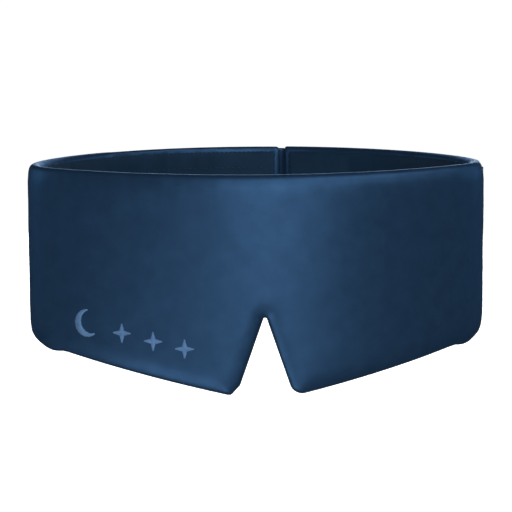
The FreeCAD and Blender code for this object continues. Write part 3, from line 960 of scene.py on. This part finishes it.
label = {
    "width": 13.4 * mm,
    "web": 0.16 * mm,
    "fold": 0.32 * mm,
    "clearance": 0.12 * mm,
    "lining": 0.45 * mm,  # thickness of the lining under it
    "sewnReach": 4 * mm,
    "wave": 0.10 * mm,
}


def careLabel():
    # A blank ribbon folded once at its lower end, its two raw ends sewn under the same short seam.
    low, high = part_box("care_label")
    middleX, middleY, tall, fold = (low.x + high.x) / 2, (low.y + high.y) / 2, high.z - low.z, label["fold"]
    guess = runOf(middleX - 3 * mm)
    tries = np.linspace(guess - 10 * mm, guess + 10 * mm, 400)
    spot = place(tries, front["depth"], 0.0 * tries)
    centre = float(tries[np.hypot(spot[:, 0] - middleX, spot[:, 1] - middleY).argmin()])
    down = np.linspace(0, tall - fold, 17)
    arc = np.linspace(-math.pi / 2, math.pi / 2, 9)[1:-1]
    z = np.concatenate([high.z - down, high.z - tall + fold - fold * np.cos(arc), high.z - down[::-1]])
    d = np.concatenate([0 * down, fold * (1 + np.sin(arc)), 2 * fold + 0 * down])
    d = d - np.where(d > fold, 1.6 * fold * np.clip(1 - (high.z - z) / label["sewnReach"], 0, 1) ** 1.5, 0)
    across = np.linspace(-0.5, 0.5, 15)
    verts, cloth = [], []
    for offset in (0, label["web"]):
        for row in range(len(z)):
            inwards = label["clearance"] + (offset if d[row] >= fold else 0) + d[row]
            for a in across:
                wave = label["wave"] * math.sin(3.1 * a + row * 0.22) * (1 if d[row] > fold else 0.4)
                u = centre + a * label["width"]
                base = float(depthAt(frontPad, [u], [z[row]], "inside")[0]) + label["lining"]
                verts.append(place(u, base + inwards + wave, z[row]))
                cloth.append((u, z[row]))
    wide, count = len(across), len(z)
    faces = []

    def quad(*places):
        # A face between four places, each a layer, a row and a column.
        faces.append([layer * wide * count + row * wide + k for layer, row, k in places])

    for row in range(count - 1):
        for k in range(wide - 1):
            for layer in (0, 1):
                quad((layer, row, k), (layer, row, k + 1), (layer, row + 1, k + 1), (layer, row + 1, k))
        for k in (0, wide - 1):
            quad((0, row, k), (0, row + 1, k), (1, row + 1, k), (1, row, k))
    for row in (0, count - 1):
        for k in range(wide - 1):
            quad((0, row, k), (0, row, k + 1), (1, row, k + 1), (1, row, k))
    piece = outward(newMesh("careLabel", verts, faces, np.array(cloth)))
    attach(piece, "mask_front")
    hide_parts("care_label")
    return piece


print("care label")
labelPiece = careLabel()

print("finishes")


def finishOf(name, colour, rough, metal=0.0, sheen=0.0, sheenColour=(1, 1, 1, 1), level=0.5):
    material = bpy.data.materials.new(name)
    material.use_nodes = True
    shader = material.node_tree.nodes["Principled BSDF"]
    shader.inputs["Base Color"].default_value = (*colour, 1)
    shader.inputs["Roughness"].default_value = rough
    shader.inputs["Metallic"].default_value = metal
    shader.inputs["Sheen Weight"].default_value = sheen
    shader.inputs["Sheen Tint"].default_value = sheenColour
    shader.inputs["Specular IOR Level"].default_value = level
    return material, material.node_tree, shader


def nodeOf(tree, kind, **values):
    node = tree.nodes.new(kind)
    for word, value in values.items():
        if word in node.inputs:
            node.inputs[word].default_value = value
        else:
            setattr(node, word, value)
    return node


def mottle(tree, shader, spot, pairs, scale):
    # Colour that wanders between two tones.
    noise = nodeOf(tree, "ShaderNodeTexNoise", Scale=scale, Detail=3.0, Roughness=0.6)
    ramp = nodeOf(tree, "ShaderNodeValToRGB")
    ramp.color_ramp.elements[0].position, ramp.color_ramp.elements[1].position = 0.3, 0.7
    for element, colour in zip(ramp.color_ramp.elements, pairs):
        element.color = (*colour, 1)
    tree.links.new(spot, noise.inputs["Vector"])
    tree.links.new(noise.outputs["Fac"], ramp.inputs["Fac"])
    tree.links.new(ramp.outputs["Color"], shader.inputs["Base Color"])


def weave(tree, shader, spot, across, along, strength, distance):
    # Fine threads both ways as a bump.
    waves = []
    for axis, pitch in (("X", across), ("Y", along)):
        wave = nodeOf(tree, "ShaderNodeTexWave", Scale=1 / pitch / 3.14159 * 0.5, Distortion=0.6, Detail=1.0,
                      bands_direction=axis)
        tree.links.new(spot, wave.inputs["Vector"])
        waves.append(wave)
    both = nodeOf(tree, "ShaderNodeMath", operation="MULTIPLY")
    tree.links.new(waves[0].outputs["Fac"], both.inputs[0])
    tree.links.new(waves[1].outputs["Fac"], both.inputs[1])
    bump = nodeOf(tree, "ShaderNodeBump", Strength=strength, Distance=distance)
    tree.links.new(both.outputs[0], bump.inputs["Height"])
    tree.links.new(bump.outputs["Normal"], shader.inputs["Normal"])


def fineCloth(name, light, dark, rough, metal, sheen, level, pitch, bump, tones=60, tint=(0.35, 0.6, 1, 1)):
    # Woven cloth, laid out flat: two tones and a fine weave.
    material, tree, shader = finishOf(name, light, rough, metal, sheen, tint, level)
    spot = nodeOf(tree, "ShaderNodeAttribute", attribute_name="cloth").outputs["Vector"]  # metres on the flat cloth
    mottle(tree, shader, spot, (dark, light), tones)
    weave(tree, shader, spot, pitch, pitch * 1.6, bump, 0.05 * mm)
    return material


def objectCloth(name, light, dark, rough, scale, strength, metal=0.0, sheen=0.0, level=0.4):
    # For pieces with no flat cloth of their own: tones and bump from the piece's own space.
    material, tree, shader = finishOf(name, light, rough, metal, sheen, (1, 1, 1, 1), level)
    spot = nodeOf(tree, "ShaderNodeTexCoord").outputs["Object"]
    mottle(tree, shader, spot, (dark, light), scale / 8)
    noise = nodeOf(tree, "ShaderNodeTexNoise", Scale=scale, Detail=2.0)
    bump = nodeOf(tree, "ShaderNodeBump", Strength=strength, Distance=0.06 * mm)
    tree.links.new(spot, noise.inputs["Vector"])
    tree.links.new(noise.outputs["Fac"], bump.inputs["Height"])
    tree.links.new(bump.outputs["Normal"], shader.inputs["Normal"])
    return material


# Light and dark tones; woven: roughness, metal, sheen, gloss, thread pitch, weave;
# others: roughness, grain, bump, then metal, sheen and gloss where they differ.
woven = {
    "navySatin": ((0.0182, 0.0480, 0.102), (0.0148, 0.0395, 0.086), 0.47, 0.7, 0.02, 0.1, 0.32 * mm, 0.10, 130),
    # The lining's tones are partly its own dark navy and partly painted shade: darkened further to stand for the
    # shade on the inside of the ring.
    "navyLiningPaintedShade": ((0.0070, 0.0230, 0.048), (0.0058, 0.019, 0.040), 0.6, 0.2, 0.02, 0.06, 0.5 * mm, 0.25),
    "labelCloth": ((0.62, 0.62, 0.6), (0.56, 0.56, 0.54), 0.45, 0.0, 0.1, 0.5, 0.25 * mm, 0.2, 60, (1, 1, 1, 1)),
}
others = {
    "blueThread": ((0.062, 0.150, 0.300), (0.048, 0.118, 0.245), 0.42, 2600, 0.3, 0.0, 0.15, 0.3),
    "navyThread": ((0.012, 0.032, 0.066), (0.009, 0.024, 0.05), 0.6, 2600, 0.3, 0.0, 0.0, 0.08),
    "navyPiping": ((0.011, 0.04, 0.09), (0.008, 0.03, 0.07), 0.5, 1800, 0.25, 0.4, 0.1, 0.15),
    "blackFilm": ((0.012, 0.012, 0.013), (0.008, 0.008, 0.009), 0.35, 300, 0.2),
    "hookTape": ((0.018, 0.03, 0.055), (0.012, 0.022, 0.042), 0.35, 900, 0.2),
    "loopPile": ((0.02, 0.035, 0.065), (0.013, 0.024, 0.048), 0.7, 900, 0.3, 0.0, 0.5),
}
finish = {name: fineCloth(name, *values) for name, values in woven.items()}
finish.update({name: objectCloth(name, *values) for name, values in others.items()})
satin = finish["navySatin"].node_tree.nodes["Principled BSDF"]
satin.inputs["Specular Tint"].default_value = (0.25, 0.45, 0.7, 1)


def dress(material, *pieces):
    for piece in pieces:
        piece.data.materials.clear()
        piece.data.materials.append(finish[material])


dress("navySatin", frontCover, outerCover, innerCover, closureTab)
dress("navyLiningPaintedShade", frontLining, outerLining, innerLining)
dress("blueThread", *motifs)
dress("navyThread", hookStitching, loopStitching)
dress("labelCloth", labelPiece)
dress("hookTape", hookPatch)
dress("loopPile", loopPatch)
for node, material in (("inner_strap_seam", "navyPiping"), ("outer_strap_seam", "navyPiping"),
                       ("tab_seam", "navyPiping"), ("blackout_layer", "blackFilm")):
    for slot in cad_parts[node].material_slots:
        slot.material = finish[material]

print("camera, lights and floor")
studio = {
    "lens": 134.58,
    "sensor": 36.0,
    "spot": (-0.05741, -0.89509, 0.12431),
    "ahead": (0.062883, 0.989346, -0.131299),
    "roll": -0.25,
    "floor": -0.2,
    "floorReach": 8,
    "floorGlow": 0.9,
    "behind": 1.1,  # what the camera sees past the mask
    "around": 0.12,  # what lights it from all sides
}
lens = bpy.data.cameras.new("camera")
lens.lens, lens.sensor_width = studio["lens"], studio["sensor"]
lens.clip_start, lens.clip_end = 0.01, 50
camera = bpy.data.objects.new("camera", lens)
scene.collection.objects.link(camera)
aimed = Vector(studio["ahead"]).to_track_quat("-Z", "Y").to_matrix()
aimed = aimed @ Matrix.Rotation(math.radians(studio["roll"]), 3, "Z")
camera.matrix_world = Matrix.Translation(studio["spot"]) @ aimed.to_4x4()
scene.camera = camera


# Spot, aim, width, height and watts of each soft light.
lamps = {
    "keyLight": ((0.15, -1.5, 0.3), (0, 0, 0), 0.6, 1.1, 16.5),
    "topLight": ((0.85, -0.85, 0.95), (0, 0, 0.03), 1.5, 0.5, 11),
    "lowLight": ((-0.45, -0.65, -0.6), (-0.03, -0.04, -0.03), 0.8, 0.5, 6),
    "leftLight": ((-1.6, 0.6, 0.4), (0, 0, 0), 0.8, 0.8, 5),
    "rightLight": ((1.6, 0.6, 0.4), (0, 0, 0), 0.8, 0.8, 4),
    "backLight": ((0.25, 1.7, 0.3), (0, 0, 0), 1.0, 0.9, 13),
}
for name, (spot, aim, width, height, power) in lamps.items():
    lamp = bpy.data.lights.new(name, "AREA")
    lamp.shape, lamp.size, lamp.size_y, lamp.energy = "RECTANGLE", width, height, power
    holder = bpy.data.objects.new(name, lamp)
    holder.visible_camera = False
    scene.collection.objects.link(holder)
    holder.matrix_world = (Matrix.Translation(spot)
                           @ (Vector(aim) - Vector(spot)).to_track_quat("-Z", "Y").to_matrix().to_4x4())

floorMesh = bpy.data.meshes.new("floor")
wide = studio["floorReach"]
floorMesh.from_pydata([(-wide, -wide, 0), (wide, -wide, 0), (wide, wide, 0), (-wide, wide, 0)], [], [(0, 1, 2, 3)])
floor = bpy.data.objects.new("floor", floorMesh)
scene.collection.objects.link(floor)
floor.location.z = studio["floor"]
floorLook, _, floorShader = finishOf("paleFloor", (0.9, 0.9, 0.9), 0.9)
floorShader.inputs["Emission Color"].default_value = (1, 1, 1, 1)
floorShader.inputs["Emission Strength"].default_value = studio["floorGlow"]
floorMesh.materials.append(floorLook)
floor.visible_diffuse = floor.visible_glossy = floor.visible_shadow = False

world = bpy.data.worlds.new("studio")
scene.world = world
world.use_nodes = True
sky = world.node_tree
behind = sky.nodes["Background"]
behind.inputs["Color"].default_value = (1, 1, 1, 1)
behind.inputs["Strength"].default_value = studio["behind"]
around = nodeOf(sky, "ShaderNodeBackground", Color=(0.9, 0.95, 1, 1), Strength=studio["around"])
ray = nodeOf(sky, "ShaderNodeLightPath")
chosen = nodeOf(sky, "ShaderNodeMixShader")
sky.links.new(ray.outputs["Is Camera Ray"], chosen.inputs[0])
sky.links.new(around.outputs[0], chosen.inputs[1])
sky.links.new(behind.outputs[0], chosen.inputs[2])
sky.links.new(chosen.outputs[0], sky.nodes["World Output"].inputs["Surface"])
scene.view_settings.view_transform = "Standard"
